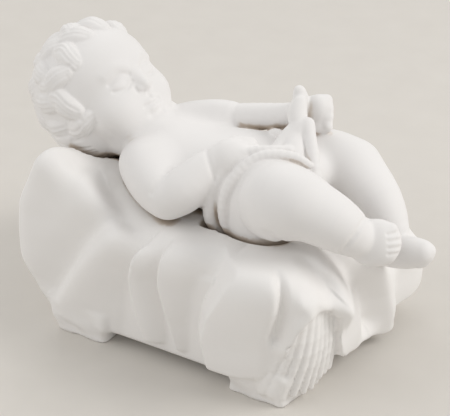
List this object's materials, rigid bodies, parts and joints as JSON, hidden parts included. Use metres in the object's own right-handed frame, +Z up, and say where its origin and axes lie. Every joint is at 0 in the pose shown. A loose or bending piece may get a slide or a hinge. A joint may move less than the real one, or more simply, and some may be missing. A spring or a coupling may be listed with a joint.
{
  "type": "reclining infant nativity figurine",
  "caption": "White bisque porcelain infant lying asleep on a straw crib spread with a draped cloth.",
  "frame": {"origin": "on the table under the middle of the object's box", "axes": "+X from head to feet, -Y towards the front, +Z up"},
  "size_m": [0.1458, 0.0864, 0.0953],
  "materials": {
    "bisque_infant": "unglazed white bisque porcelain, matt and fine-grained, faintly warm in the creases",
    "bisque_crib": "unglazed white bisque porcelain, matt and fine-grained, faintly warm in the folds"
  },
  "bodies": {
    "root": {"infant": "bisque_infant", "draped_crib": "bisque_crib"}
  },
  "joints": []
}
